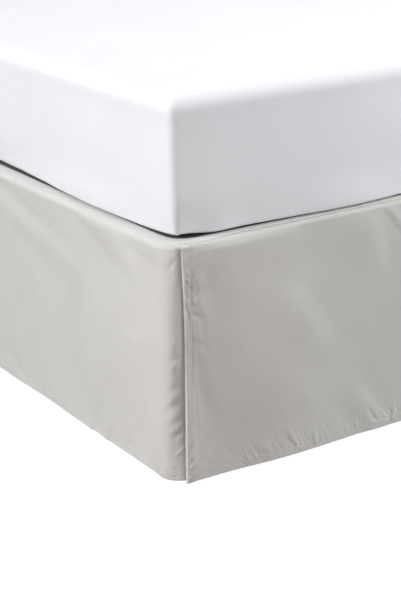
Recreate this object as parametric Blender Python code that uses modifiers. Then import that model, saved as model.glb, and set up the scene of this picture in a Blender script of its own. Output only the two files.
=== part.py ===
"""A tailored bed skirt with split foot corners, on the plain bed that it fits.

The skirt is a deck with three drops sewn to its edges. The deck lies on the box spring, under the
mattress. Each drop falls from its seam over a soft shoulder and hangs just clear of the floor. At
the two foot corners the side drops turn in behind the ends of the foot drop.

The axes: +Y points to the head end, +Z up, and the origin is on the floor under the bed's middle.
All sizes are in metres. Along a drop, a place is given by its distance from the foot corner, where
the straight lines of the side and the foot would meet, and by its height above the floor.
"""

import math
from collections import namedtuple

import bmesh
import bpy
from mathutils import Vector

# The skirt's cut sizes
DECK_WIDTH = 1.524
DECK_LENGTH = 2.032
DROP = 0.356
HEM_CLEARANCE = 0.010
HEM_DEPTH = 0.013
SIDE_HEM = 0.015

# Thicknesses, and the spaces between pieces
CLOTH = 0.0012
HEM_CLOTH = 0.0028
HEM_STEP = 0.001
GAP = 0.0003
SEAM_GAP = 0.0008

# The skirt's outline from above: its corners are wide at the seam and tighter at the hem
CORNER_AT_SEAM = 0.068
CORNER_AT_HEM = 0.042

# The shoulder is the bend in which a drop turns from the seam to the vertical
SHOULDER_RADIUS = 0.016
SHOULDER_TURN = math.radians(60)
SHOULDER_STEPS = 3

# The ends of the drops at the split corners
FOOT_HALF = 0.736
FOOT_FLARE = 0.0055
FLARE_HEIGHT = 0.280
SIDE_PAST_CORNER = 0.034
TIP_DROOP = 0.003
TIP_WIDTH = 0.018
TIP_HEIGHT = 0.060

# The bed
BOX_INSET = 0.010
BOX_HEIGHT = 0.190
BOX_CORNER = 0.075
BOX_EDGE = 0.020
MATTRESS_WIDTH = 1.480
MATTRESS_LENGTH = 2.000
MATTRESS_HEIGHT = 0.203
MATTRESS_CORNER = 0.018
MATTRESS_EDGE = 0.010
LEG_RADIUS = 0.024
LEG_ROWS_X = (-0.620, 0.620)
LEG_ROWS_Y = (-0.860, 0.0, 0.860)

SEAM_HEIGHT = HEM_CLEARANCE + DROP
SHOULDER_FALL = SHOULDER_RADIUS * math.sin(SHOULDER_TURN)
SEAM_INSET = SHOULDER_RADIUS * (1 - math.cos(SHOULDER_TURN))
SIDE_LENGTH = DECK_LENGTH + SIDE_PAST_CORNER
BOX_TOP = SEAM_HEIGHT - CLOTH - GAP
BOX_BOTTOM = BOX_TOP - BOX_HEIGHT

# How a side drop turns in behind the foot drop: how far in it lies there, and over what length
Turn = namedtuple("Turn", "height depth reach")
TURNS = (
    Turn(0.366, 0.0035, 0.020),
    Turn(0.250, 0.0045, 0.024),
    Turn(0.125, 0.0090, 0.036),
    Turn(0.010, 0.0050, 0.030),
)

# Soft folds, each a ridge (+) or a trough (-) along a line between two places on its drop
Fold = namedtuple("Fold", "from_along from_height to_along to_height half_width push")
LEFT_FOLDS = (
    Fold(0.560, 0.330, 0.317, 0.286, 0.026, 0.0022),
    Fold(0.480, 0.346, 0.400, 0.338, 0.020, -0.0016),
    Fold(0.271, 0.346, 0.163, 0.322, 0.024, -0.0022),
    Fold(0.182, 0.318, 0.104, 0.295, 0.022, -0.0020),
    Fold(0.078, 0.344, 0.030, 0.336, 0.018, -0.0014),
    Fold(0.420, 0.010, 0.380, 0.220, 0.110, -0.0020),
    Fold(0.900, 0.010, 0.860, 0.240, 0.150, 0.0030),
    Fold(1.350, 0.010, 1.400, 0.260, 0.160, -0.0030),
    Fold(1.780, 0.010, 1.760, 0.230, 0.130, 0.0026),
)
RIGHT_FOLDS = (
    Fold(0.300, 0.010, 0.270, 0.230, 0.130, 0.0026),
    Fold(0.700, 0.330, 0.480, 0.290, 0.040, 0.0020),
    Fold(0.800, 0.010, 0.830, 0.250, 0.150, -0.0030),
    Fold(1.250, 0.010, 1.220, 0.230, 0.140, 0.0030),
    Fold(1.700, 0.010, 1.730, 0.250, 0.160, -0.0026),
)
FOOT_FOLDS = (
    Fold(0.034, 0.241, 0.055, 0.130, 0.016, -0.0018),
    Fold(0.108, 0.010, 0.122, 0.070, 0.045, 0.0040),
    Fold(0.232, 0.230, 0.263, 0.140, 0.026, 0.0018),
    Fold(0.325, 0.118, 0.382, 0.054, 0.024, 0.0016),
    Fold(0.372, 0.350, 0.408, 0.300, 0.022, 0.0016),
    Fold(0.560, 0.010, 0.530, 0.220, 0.120, -0.0024),
    Fold(0.850, 0.010, 0.880, 0.240, 0.130, 0.0030),
    Fold(1.180, 0.010, 1.150, 0.230, 0.120, -0.0024),
    Fold(1.400, 0.010, 1.410, 0.120, 0.060, 0.0026),
)

# The lines of the cloth's mesh: each span runs from the last one to its end, in even steps
Span = namedtuple("Span", "end steps")
HEIGHT_SPANS = (
    Span(SEAM_HEIGHT - 0.130, 6),
    Span(HEM_CLEARANCE + HEM_DEPTH, 5),
    Span(HEM_CLEARANCE + HEM_DEPTH - HEM_STEP, 1),
    Span(HEM_CLEARANCE, 1),
)
LEFT_SPANS = (
    Span(SIDE_HEM, 1),
    Span(SIDE_HEM + HEM_STEP, 1),
    Span(0.150, 11),
    Span(0.640, 18),
    Span(SIDE_LENGTH - SIDE_HEM - HEM_STEP, 12),
    Span(SIDE_LENGTH - SIDE_HEM, 1),
    Span(SIDE_LENGTH, 1),
)
RIGHT_SPANS = (
    Span(SIDE_HEM, 1),
    Span(SIDE_HEM + HEM_STEP, 1),
    Span(0.150, 10),
    Span(SIDE_LENGTH - SIDE_HEM - HEM_STEP, 19),
    Span(SIDE_LENGTH - SIDE_HEM, 1),
    Span(SIDE_LENGTH, 1),
)
FOOT_SPANS = (
    Span(SIDE_HEM, 1),
    Span(SIDE_HEM + HEM_STEP, 1),
    Span(0.100, 6),
    Span(0.970, 11),
    Span(1.330, 14),
    Span(2 * FOOT_HALF - SIDE_HEM - HEM_STEP, 10),
    Span(2 * FOOT_HALF - SIDE_HEM, 1),
    Span(2 * FOOT_HALF, 1),
)


def mix(start, end, share):
    return start + (end - start) * share


def ease(share):
    share = min(max(share, 0.0), 1.0)
    return share * share * (3 - 2 * share)


def marks(start, spans):
    """The places from start on, at even steps within each span."""
    places = [start]
    for span in spans:
        first = places[-1]
        places += [mix(first, span.end, step / span.steps) for step in range(1, span.steps + 1)]
    return places


def turn_at(height):
    """The depth and the reach of the turn-in at a height, between the rows of the table."""
    for upper, lower in zip(TURNS, TURNS[1:]):
        if height >= lower.height:
            break
    share = ease((upper.height - height) / (upper.height - lower.height))
    return mix(upper.depth, lower.depth, share), mix(upper.reach, lower.reach, share)


def corner_radius(height):
    return mix(CORNER_AT_HEM, CORNER_AT_SEAM, (height - HEM_CLEARANCE) / DROP)


def outline(run, radius):
    """The point and outward normal on the skirt's outline, as seen from above.

    run is the distance round the outline from the middle of the foot: positive goes by the left
    corner (-X) and up the left side, negative by the right corner. radius is the corners'."""
    half = DECK_WIDTH / 2
    straight = half - radius
    turn = radius * math.pi / 2
    distance = abs(run)
    angle = min(max(distance - straight, 0) / radius, math.pi / 2)
    across = min(distance, straight) + radius * math.sin(angle)
    up = radius * (1 - math.cos(angle)) + max(distance - straight - turn, 0)
    side = -1 if run > 0 else 1
    point = Vector((side * across, up - DECK_LENGTH / 2))
    return point, Vector((side * math.sin(angle), -math.cos(angle)))


def side_run(length, radius):
    """The run of the place on a side drop at length from its turned-in end."""
    to_head = DECK_WIDTH / 2 + DECK_LENGTH - radius * (2 - math.pi / 2)
    return to_head - (SIDE_LENGTH - length)


def foot_run(length, height):
    """The run of the place on the foot drop at length from its right end. Its ends flare a little."""
    flare = FOOT_FLARE * ease((FLARE_HEIGHT - height) / FLARE_HEIGHT)
    return (length - FOOT_HALF) * (1 + flare / FOOT_HALF)


def fold_push(folds, along, height):
    """How far the folds push a place outwards. Each fold fades to nothing at its half width."""
    place = Vector((along, height))
    push = 0.0
    for fold in folds:
        start = Vector((fold.from_along, fold.from_height))
        line = Vector((fold.to_along, fold.to_height)) - start
        share = min(max((place - start).dot(line) / line.length_squared, 0), 1)
        distance = (place - start - line * share).length / fold.half_width
        push += fold.push * max(1 - distance * distance, 0) ** 2
    return push * ease((SEAM_HEIGHT - height) / (2 * SHOULDER_FALL))


Row = namedtuple("Row", "height inset tilt")


def drop_rows():
    """The rows of a drop's mesh, from the seam down the shoulder to the hem."""
    rows = []
    for step in range(SHOULDER_STEPS + 1):
        tilt = SHOULDER_TURN * (1 - step / SHOULDER_STEPS)
        height = SEAM_HEIGHT - SHOULDER_FALL + SHOULDER_RADIUS * math.sin(tilt)
        rows.append(Row(height, SHOULDER_RADIUS * (1 - math.cos(tilt)), tilt))
    rows += [Row(height, 0.0, 0.0) for height in marks(rows[-1].height, HEIGHT_SPANS)[1:]]
    return rows


def cloth_point(run, row, push):
    """The place on the cloth's outer face, pushed out along its normal."""
    point, outward = outline(run, corner_radius(row.height))
    point = (point - outward * row.inset).to_3d()
    point.z = row.height
    normal = (outward * math.cos(row.tilt)).to_3d()
    normal.z = math.sin(row.tilt)
    return point + normal * push


def side_point(length, row, folds, side):
    """A place on a side drop, at length from its turned-in end. side is 1 for left, -1 for right."""
    run = side_run(length, corner_radius(row.height))
    depth, reach = turn_at(row.height)
    past_slit = abs(run) - abs(foot_run(0, row.height)) - HEM_STEP
    push = fold_push(folds, length - SIDE_PAST_CORNER, row.height)
    return cloth_point(side * run, row, push - depth * ease(1 - past_slit / reach))


def foot_point(length, row):
    """A place on the foot drop, at length from its right end. Its lower corners droop a little."""
    run = foot_run(length, row.height)
    push = fold_push(FOOT_FOLDS, DECK_WIDTH / 2 - run, row.height)
    point = cloth_point(run, row, push)
    from_end = min(length, 2 * FOOT_HALF - length)
    low = ease(1 - (row.height - HEM_CLEARANCE) / TIP_HEIGHT)
    point.z -= TIP_DROOP * low * ease(1 - from_end / TIP_WIDTH)
    return point


def material(name, color, roughness):
    made = bpy.data.materials.new(name)
    made.use_nodes = True
    shader = made.node_tree.nodes["Principled BSDF"]
    shader.inputs["Base Color"].default_value = (*color, 1)
    shader.inputs["Roughness"].default_value = roughness
    made.diffuse_color = (*color, 1)
    return made


def add_object(name, data, collection, surface):
    made = bpy.data.objects.new(name, data)
    data.materials.append(surface)
    collection.objects.link(made)
    return made


def make_drop(name, lengths, place, collection, surface):
    """A drop: a grid laid on its hanging shape, made solid inwards and thicker at its hems.

    place gives the point for a length along the drop and a row. The lengths run so that the
    grid faces outwards."""
    rows = drop_rows()
    columns = len(lengths) - 1
    grid = bmesh.new()
    bmesh.ops.create_grid(grid, x_segments=columns, y_segments=len(rows) - 1, size=1)
    hem_top = HEM_CLEARANCE + HEM_DEPTH - HEM_STEP / 2
    shoulder_foot = SEAM_HEIGHT - SHOULDER_FALL - HEM_STEP
    doubled = []
    for index, vert in enumerate(grid.verts):
        column = round((vert.co.x + 1) / 2 * columns)
        row = rows[round((vert.co.y + 1) / 2 * (len(rows) - 1))]
        from_end = min(abs(lengths[column] - end) for end in (lengths[0], lengths[-1]))
        side_hem = from_end < SIDE_HEM + HEM_STEP / 2 and row.height < shoulder_foot
        if row.height < hem_top or side_hem:
            doubled.append(index)
        vert.co = place(lengths[column], row)
    mesh = bpy.data.meshes.new(name)
    grid.to_mesh(mesh)
    grid.free()
    mesh.shade_smooth()
    drop = add_object(name, mesh, collection, surface)
    drop.vertex_groups.new(name="hem").add(doubled, 1.0, "REPLACE")
    solid = drop.modifiers.new("cloth", "SOLIDIFY")
    solid.thickness = HEM_CLOTH
    solid.offset = -1
    solid.vertex_group = "hem"
    solid.thickness_vertex_group = CLOTH / HEM_CLOTH
    return drop


def make_deck(collection, surface):
    """The deck: a flat sheet that ends at the seam all round, with its head edge square."""
    inset = SEAM_INSET + CLOTH * math.cos(SHOULDER_TURN) + SEAM_GAP
    radius = CORNER_AT_SEAM
    half_run = side_run(SIDE_LENGTH, radius)
    corner_start = DECK_WIDTH / 2 - radius
    corner_steps = 16
    runs = [corner_start + radius * math.pi / 2 * step / corner_steps for step in range(corner_steps + 1)]
    runs.append(half_run)
    curve = bpy.data.curves.new("deck", "CURVE")
    curve.dimensions = "2D"
    curve.fill_mode = "BOTH"
    curve.extrude = CLOTH / 2
    spline = curve.splines.new("POLY")
    spline.use_cyclic_u = True
    spline.points.add(2 * len(runs) - 1)
    for point, run in zip(spline.points, [-run for run in reversed(runs)] + runs):
        place, outward = outline(run, radius)
        point.co = (*(place - outward * inset), 0, 1)
    guide = bpy.data.objects.new("deck_outline", curve)
    collection.objects.link(guide)
    bpy.context.view_layer.update()
    sheet = bpy.data.meshes.new_from_object(guide.evaluated_get(bpy.context.evaluated_depsgraph_get()))
    bpy.data.objects.remove(guide)
    welded = bmesh.new()
    welded.from_mesh(sheet)
    bmesh.ops.remove_doubles(welded, verts=welded.verts, dist=1e-5)
    welded.to_mesh(sheet)
    welded.free()
    deck = add_object("deck", sheet, collection, surface)
    deck.location.z = SEAM_HEIGHT - CLOTH / 2
    return deck


def make_block(name, size, bottom, corner, edge, collection, surface):
    """A box with round upright corners and, smaller, round top and bottom edges."""
    block = bmesh.new()
    bmesh.ops.create_cube(block, size=1)
    for vert in block.verts:
        vert.co.x *= size[0]
        vert.co.y *= size[1]
        vert.co.z = bottom + (vert.co.z + 0.5) * size[2]
    upright = [line for line in block.edges if abs(line.verts[0].co.z - line.verts[1].co.z) > size[2] / 2]
    bmesh.ops.bevel(block, geom=upright, offset=corner, segments=6, profile=0.5, affect="EDGES")
    mesh = bpy.data.meshes.new(name)
    block.to_mesh(mesh)
    block.free()
    mesh.shade_smooth()
    made = add_object(name, mesh, collection, surface)
    rounded = made.modifiers.new("edges", "BEVEL")
    rounded.width = edge
    rounded.segments = 4
    rounded.limit_method = "ANGLE"
    rounded.angle_limit = math.radians(60)
    return made


def make_leg(name, x, y, mesh, collection):
    leg = bpy.data.objects.new(name, mesh)
    leg.location = (x, y, 0)
    collection.objects.link(leg)
    return leg


def leg_mesh(surface):
    """A round leg from the floor to the box spring."""
    height = BOX_BOTTOM - GAP
    shape = bmesh.new()
    bmesh.ops.create_cone(
        shape, cap_ends=True, segments=32, radius1=LEG_RADIUS, radius2=LEG_RADIUS, depth=height
    )
    bmesh.ops.translate(shape, verts=shape.verts, vec=(0, 0, height / 2))
    mesh = bpy.data.meshes.new("leg")
    shape.to_mesh(mesh)
    shape.free()
    mesh.shade_smooth()
    mesh.set_sharp_from_angle(angle=math.radians(40))
    mesh.materials.append(surface)
    return mesh


def make_skirt(collection):
    cloth = material("skirt_cloth", (0.60, 0.58, 0.55), 0.85)
    deck_cloth = material("deck_cloth", (0.66, 0.64, 0.61), 0.90)
    lengths = marks(0.0, LEFT_SPANS)
    make_drop(
        "left_drop", lengths, lambda at, row: side_point(at, row, LEFT_FOLDS, 1), collection, cloth
    )
    lengths = marks(0.0, RIGHT_SPANS)[::-1]
    make_drop(
        "right_drop", lengths, lambda at, row: side_point(at, row, RIGHT_FOLDS, -1), collection, cloth
    )
    make_drop("foot_drop", marks(0.0, FOOT_SPANS), foot_point, collection, cloth)
    make_deck(collection, deck_cloth)


def make_bed(collection):
    ticking = material("ticking", (0.86, 0.86, 0.88), 0.85)
    box_cloth = material("box_cloth", (0.72, 0.72, 0.72), 0.90)
    leg_finish = material("leg_finish", (0.10, 0.09, 0.08), 0.50)
    mattress_size = (MATTRESS_WIDTH, MATTRESS_LENGTH, MATTRESS_HEIGHT)
    box_size = (DECK_WIDTH - 2 * BOX_INSET, DECK_LENGTH - 2 * BOX_INSET, BOX_HEIGHT)
    make_block(
        "mattress", mattress_size, SEAM_HEIGHT + GAP, MATTRESS_CORNER, MATTRESS_EDGE, collection, ticking
    )
    make_block("box_spring", box_size, BOX_BOTTOM, BOX_CORNER, BOX_EDGE, collection, box_cloth)
    mesh = leg_mesh(leg_finish)
    places = [(x, y) for y in LEG_ROWS_Y for x in LEG_ROWS_X]
    for number, (x, y) in enumerate(places, start=1):
        make_leg(f"leg_{number}", x, y, mesh, collection)


def main():
    for old in list(bpy.data.objects):
        bpy.data.objects.remove(old)
    collection = bpy.data.collections.new("bed_skirt")
    bpy.context.scene.collection.children.link(collection)
    make_skirt(collection)
    make_bed(collection)


main()
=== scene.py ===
"""The looks of a tailored bed skirt with split foot corners, on the plain bed that it fits.

The drops, the deck, the mattress and the box spring are fine closed cloths and pads on the shapes of
their solids, with the folds, hems, puckers and threads of the real thing. A place on a drop is given
by its distance along the cloth from the foot corner and by its height above the floor. Sizes are in
metres, but for the rows of tables, which in_metres turns into metres.
"""

import itertools
import math
from collections import namedtuple
from functools import partial

import bmesh
import bpy
import numpy as np
from mathutils import Matrix, Vector


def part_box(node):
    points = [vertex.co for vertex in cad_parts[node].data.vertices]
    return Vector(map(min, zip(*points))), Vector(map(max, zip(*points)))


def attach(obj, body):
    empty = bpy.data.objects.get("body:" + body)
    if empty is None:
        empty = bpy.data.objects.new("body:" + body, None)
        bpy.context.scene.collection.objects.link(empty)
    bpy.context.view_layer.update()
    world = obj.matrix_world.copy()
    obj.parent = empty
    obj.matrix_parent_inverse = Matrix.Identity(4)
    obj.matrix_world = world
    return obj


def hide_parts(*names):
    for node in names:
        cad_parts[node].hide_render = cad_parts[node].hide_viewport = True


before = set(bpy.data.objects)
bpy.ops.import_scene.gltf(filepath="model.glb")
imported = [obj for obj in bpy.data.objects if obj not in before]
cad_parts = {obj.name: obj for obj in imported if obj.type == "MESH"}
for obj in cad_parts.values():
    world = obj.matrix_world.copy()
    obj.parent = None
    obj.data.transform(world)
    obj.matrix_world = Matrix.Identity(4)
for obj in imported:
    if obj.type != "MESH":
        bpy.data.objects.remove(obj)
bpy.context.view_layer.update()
scene = bpy.context.scene

# Where the solids lie
DECK_LOW, DECK_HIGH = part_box("deck")
HEM_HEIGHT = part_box("left_drop")[0].z
PAD_LOW, PAD_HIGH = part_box("mattress")
BOX_LOW, BOX_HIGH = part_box("box_spring")
SEAM_HEIGHT = DECK_HIGH.z
HEAD_Y = DECK_HIGH.y

# The skirt's outline from above. Its corners are tightest between the hem and the seam
FACE_PAST_DECK = 0.0094
HALF_WIDTH = DECK_HIGH.x + FACE_PAST_DECK
FOOT_Y = DECK_LOW.y - FACE_PAST_DECK
CORNER_AT_SEAM = 0.042
CORNER_AT_HEM = 0.042
CORNER_BETWEEN = 0.026
DROP = SEAM_HEIGHT - HEM_HEIGHT

# The shoulder is the bend in which a drop turns from the seam to the vertical
SHOULDER_RADIUS = 0.008
SHOULDER_TURN = math.radians(80)
SEAM_GAP = 0.0008
SHOULDER_INSET = SHOULDER_RADIUS * (1 - math.cos(SHOULDER_TURN)) + SEAM_GAP
SHOULDER_FALL = SHOULDER_RADIUS * math.sin(SHOULDER_TURN)
SHOULDER_ARC = SHOULDER_RADIUS * SHOULDER_TURN

# The drops' flat sizes. The foot drop flares towards its hem
FOOT_HALF = 0.7382
FOOT_LENGTH = 2 * FOOT_HALF
FOOT_FLARE = 0.0055
FLARE_HEIGHT = 0.28
SIDE_PAST_CORNER = 0.034
SIDE_LENGTH = HEAD_Y - FOOT_Y + SIDE_PAST_CORNER
CLOTH_LENGTH = SHOULDER_ARC + DROP - SHOULDER_FALL

# The cloth, its hems and the groove that their stitches press
CLOTH = 0.001
HEM_CLOTH = 0.0026
HEM_DEPTH = 0.0125
HEM_STEP = 0.002
HEM_RISE = 0.00006
HEM_SLOPE = 0.003
GROOVE_DEPTH = 0.00004
GROOVE_WIDTH = 0.001

# The seam at the deck's edge, the lean of the foot drop under it, and where the end hems begin
SEAM_DOWN = 0.0038
SEAM_DEPTH = 0.001
SEAM_WIDTH = 0.0006
LEAN_DEPTH = 0.0018
LEAN_REACH = 0.05
END_HEM_TOP = 0.01

# The foot drop's edges at the slits: a narrow face that turns away, wider lower down, and a drooping tip
SLIT_TOP = 0.35
EDGE_SLOPE = 1.15
EDGE_WIDTH = 0.0022
EDGE_WIDTH_AT_TOP = 0.0003
EDGE_GROWTH = 0.035
EDGE_CLOTH = 0.0004
TIP_DROOP = 0.003
TIP_WIDTH = 0.018
TIP_HEIGHT = 0.06

# How the stitches of the foot drop's end hems pull it in: how far, how wide, and from what height up
PULL_DEPTH = 0.0009
PULL_WIDTH = 0.0022
PULL_HEIGHT = 0.12
PULL_GROWTH = 0.06

# The side drops stay behind the slits' edges: the gap, how their folds and bumps grow from there, how
# the turned-in depth fades where the slit is closed, and where their seam begins to show
SLIT_GAP = 0.001
FOLD_GROWTH = 0.022
BUMP_GROWTH = 0.01
CLOSED_GROWTH = 0.016
CLOSED_SHARE = 0.6
SEAM_SHOWS = 0.36
SEAM_GROWTH = 0.08


def in_metres(kind, *rows):
    """A table's rows, which are written in millimetres."""
    return [kind(*(value / 1000 for value in row)) for row in rows]


# How a side drop turns in behind the foot drop: how far in it lies there, and over what length
Turn = namedtuple("Turn", "height depth reach")
TURNS = in_metres(
    Turn, (366, 3, 7), (340, 4.4, 10), (300, 4, 14), (250, 3.8, 14), (125, 5.6, 20), (10, 5, 30)
)

# The width of the foot drop's end hems, down the slits
Strip = namedtuple("Strip", "height width")
STRIPS = in_metres(Strip, (366, 14.5), (300, 12), (230, 11), (110, 8.5), (10, 8.5))

# Folds and creases, each a ridge (+) or a trough (-) on a line between two places on its drop, and
# strongest at the first. The half width is that of the flank on the left of the line where along runs
# to the right, and of both where no other is given
Fold = namedtuple(
    "Fold", "from_along from_height to_along to_height half_width push other_width", defaults=(None,)
)
FOLD_FADE = 1.6
LEFT_FOLDS = in_metres(
    Fold,
    (640, 338, 80, 228, 33, 1.7, 31), (620, 361, 240, 286, 26, -1.3), (240, 368, 20, 288, 30, 2.9, 38),
    (155, 362, 100, 320, 22, 1), (150, 364, -40, 334, 16, 1, 22), (100, 205, 320, 200, 150, 7.5, 190),
    (36, 30, 28, 180, 26, 3.8, 40), (238, 20, 178, 120, 24, -2), (132, 18, 85, 90, 20, -1.4),
    (420, -10, 360, 260, 110, -2), (900, -10, 850, 300, 150, 3.2), (1350, -10, 1410, 310, 160, -3.2),
    (1780, -10, 1750, 280, 130, 2.8),
)
RIGHT_FOLDS = in_metres(
    Fold,
    (300, 10, 270, 230, 130, 2.6), (700, 330, 480, 290, 34, 3.4), (240, 364, 90, 306, 22, 3, 40),
    (800, 10, 830, 250, 150, -3), (1250, 10, 1220, 230, 140, 3), (1700, 10, 1730, 250, 160, -2.6),
)
FOOT_FOLDS = in_metres(
    Fold,
    (42, 250, 62, 165, 90, 1.3, 15), (46, 225, 106, 45, 110, 2.5, 28), (22, 16, 22, 150, 10, 1.4, 18),
    (57, 272, 68, 180, 80, 1.1, 13), (205, -10, 190, 330, 120, 5.2, 140), (205, 246, 300, 108, 34, 1.8, 44),
    (114, 345, 130, 20, 150, 5.6, 85), (106, 305, 150, 232, 30, 0.9, 45), (206, 356, 210, 250, 24, 0.6, 45),
    (360, 16, 284, 120, 36, 2, 26), (224, 100, 254, 50, 20, 0.8, 30), (348, 326, 370, 235, 28, 2, 60),
    (380, 360, 430, 296, 13, 1.4, 11), (600, -10, 560, 260, 120, -2.6), (850, -10, 880, 280, 130, 3.2),
    (1180, -10, 1150, 270, 120, -2.6), (1400, -10, 1410, 160, 60, 2.8),
)
LEFT_CREASES = in_metres(
    Fold,
    (-1, 101, 24, 83, 4, 1.8), (-1, 90, 18, 76, 4, -1.8), (-1, 122, 26, 99, 4.5, 1.3),
    (1, 136, 30, 113, 4.5, -1.4), (-1, 150, 20, 132, 4.5, 1.3), (1, 162, 18, 148, 4.5, -1.1),
    (-1, 62, 18, 46, 4.5, 0.9), (1, 226, 13, 216, 5, 1.1), (1, 194, 14, 184, 6, 1.4),
    (1, 203, 12, 198, 5, -1), (1, 344, 14, 326, 5, -0.9), (2, 322, 24, 347, 6, -0.7),
    (60, 210, 200, 209, 9, 0.6), (207, 16, 194, 50, 10, 1.4), (128, 16, 116, 54, 9, 1.4),
    (346, 16, 342, 50, 6.5, 1.2), (325, 16, 322, 52, 6.5, 1.2), (262, 14, 246, 38, 8, 1.1),
    (272, 40, 275, 120, 12, 0.9), (500, 30, 580, 68, 18, -1.4),
)
RIGHT_CREASES = in_metres(
    Fold,
    (2, 120, 20, 104, 4.5, 1.2), (2, 212, 14, 205, 6, -1), (4, 335, 16, 322, 5, -0.8),
    (310, 20, 270, 80, 22, 1.4),
)
FOOT_CREASES = in_metres(
    Fold,
    (44, 372, 40, 262, 80, 2, 18), (39, 300, 37, 200, 28, 0.6, 6), (47, 354, 43, 326, 24, 1.2, 10),
    (45, 316, 42, 294, 18, 1.1, 8), (47, 280, 43, 248, 22, 1.3, 10), (36, 180, 36, 156, 8, 0.6, 6),
    (27, 34, 42, 54, 4, 1.4), (32, 24, 60, 40, 4.6, 1.3), (28, 50, 36, 76, 3.8, 1.1),
    (40, 262, 58, 252, 5, -1), (40, 222, 62, 206, 6, -0.9), (40, 300, 56, 294, 5, -0.8),
    (203, 28, 184, 64, 7, 0.8), (241, 22, 236, 50, 6, 0.8), (252, 22, 250, 38, 4, 0.5),
    (300, 22, 297, 36, 4, 0.5), (320, 22, 315, 40, 4.5, 0.6), (355, 26, 337, 54, 6, -1.1),
    (389, 22, 393, 50, 6, 1), (155, 20, 164, 32, 4.5, 0.6), (126, 18, 116, 34, 4.5, 0.6),
)

# Uneven fields of bumps: how high, how wide, and the field's seed
SOFT_BUMPS = ((0.0007, 0.09, 0), (0.00022, 0.034, 1), (0.00002, 0.013, 2))
SEAM_LINE = ((0.0004, 0.05, 81),)
PULL_BUMPS = ((0.6, 0.01, 91),)
DECK_WAVES = ((0.00035, 0.014, 71), (0.0004, 0.05, 72))
PAD_WAVES = ((0.0006, 0.06, 61), (0.001, 0.17, 62))
PAD_DIPS = ((0.0012, 0.2, 63),)
PAD_EDGE = ((0.0006, 0.05, 64),)

# The gathers that a line of stitches makes: their strength, their reach, the width of a puff, and what
# to add to the line's seed. A hem has three sizes beyond its stitches and one on itself
Gather = namedtuple("Gather", "amount reach size seed")
HEM_GATHERS = (Gather(1.1, 0.016, 0.0045, 3), Gather(1.0, 0.034, 0.013, 0), Gather(0.35, 0.08, 0.03, 6))
ON_HEM_GATHER = Gather(1.54, 0.014, 0.0045, 3)
ON_HEM_FADE = 0.008
SEAM_GATHER = Gather(0.0003, 0.02, 0.02, 0)
GATHER_SLANT = 0.5

# How strongly a drop's bottom hem and end hems gather it, and the seeds of its fields
Sewn = namedtuple("Sewn", "hem end soft_seed hem_seed end_seed seam_seed")
FOOT_SEWN = Sewn(0.0009, 0.0013, 41, 21, 31, 51)
LEFT_SEWN = Sewn(0.001, 0.0007, 45, 121, 130, 139)
RIGHT_SEWN = Sewn(0.001, 0.0007, 43, 171, 180, 189)

# How tight the foot drop's end hems are: from what height up, over what length, how much it adds
END_TIGHTNESS = ((0.04, 0.05, 1.0), (0.2, 0.1, 1.4))

# How far the mattress's lower edge lies inside the skirt's outline, by the distance from the corner
Inset = namedtuple("Inset", "along inset")
LEFT_INSETS = in_metres(
    Inset, (0, 32), (68, 29), (116, 26), (166, 21), (255, 19), (359, 22), (440, 28), (520, 32), (604, 34),
    (800, 26), (1100, 21), (1500, 26), (2032, 22),
)
FOOT_INSETS = in_metres(
    Inset, (0, 29), (69, 24), (100, 19), (135, 22), (165, 18), (234, 16), (285, 11), (336, 10), (376, 13),
    (416, 17), (600, 18), (900, 12), (1300, 20), (1524, 26),
)

# The mattress pad's round edges, its sides' bulge and tuck, and its lift at the corner
PAD_CORNER = 0.014
PAD_TOP_EDGE = 0.026
PAD_LOW_EDGE = 0.005
PAD_BULGE = 0.0022
PAD_CROWN = 0.0008
PAD_LOW_INSETS = (0.3, 0.12, 0.06, 0.034, 0.024, 0.015)
PAD_TOP_INSETS = (0.032, 0.04, 0.052, 0.07, 0.095, 0.13, 0.175, 0.23, 0.3, 0.39, 0.49, 0.59, 0.68)
TUCK = 0.0032
TUCK_REACH = 0.03
TUCK_AT_FOOT = 0.3
LIFT = 0.0016
CORNER_LIFT = 0.0046
CORNER_LIFT_REACH = 0.072
CORNER_DRAWN_IN = 0.0018

# The box spring's corners, its corded edges and the bulge of its sides
BOX_CORNER = 0.075
BOX_CORD = 0.0035
BOX_SIDE_INSET = 0.0045
BOX_BULGE = 0.003

# How far inside the deck's edge its mesh's rings lie, and the dip there
DECK_INSETS = (0.0009, 0.0016, 0.0026, 0.004, 0.006, 0.009, 0.013, 0.018, 0.024, 0.034)
DECK_DIP = 0.0005

# The stitches' length and spacing, where the first and last lie, and the thread's radius
STITCH = 0.0029
STITCH_STEP = 0.0036
FIRST_STITCH = 0.004
LAST_STITCH = 0.003
THREAD = 0.00018

# The tacks at the slits' tops: their rows' distance down, and their stitches
TACK_ROWS = (0.0076, 0.0094)
TACK_STITCHES = 5
TACK_STEP = 0.0034
TACK_SHARE = 0.86
TACK_PAST_SLIT = 0.009
TACK_LIFT = 0.0004
TACK_THREAD = 0.00028

# A thread's rings from end to end: where along it, how wide as a share, and how high off the cloth
THREAD_RINGS = ((0, 0.45, -0.9), (0.14, 0.9, -0.1), (0.5, 1, 0.2), (0.86, 0.9, -0.1), (1, 0.45, -0.9))
THREAD_SIDES = 6

# A cloth's back lies a little further in away from its edges, and has a coarser mesh
BACK_MARGIN = 0.002
BACK_GROWTH = 0.025
BACK_STEP = 0.008

# The cloths' looks: how uneven and how strong the weave's relief is, the slubs' share in the tones,
# how far the roughness spreads, and the sheen
WEAVE_UNEVEN = 0.9
WEAVE_STRENGTH = 0.07
SLUB_SHARE = 0.45
ROUGH_SPREAD = 0.07
CLOTH_SPECULAR = 0.25
SHEEN_ROUGHNESS = 0.45

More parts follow.
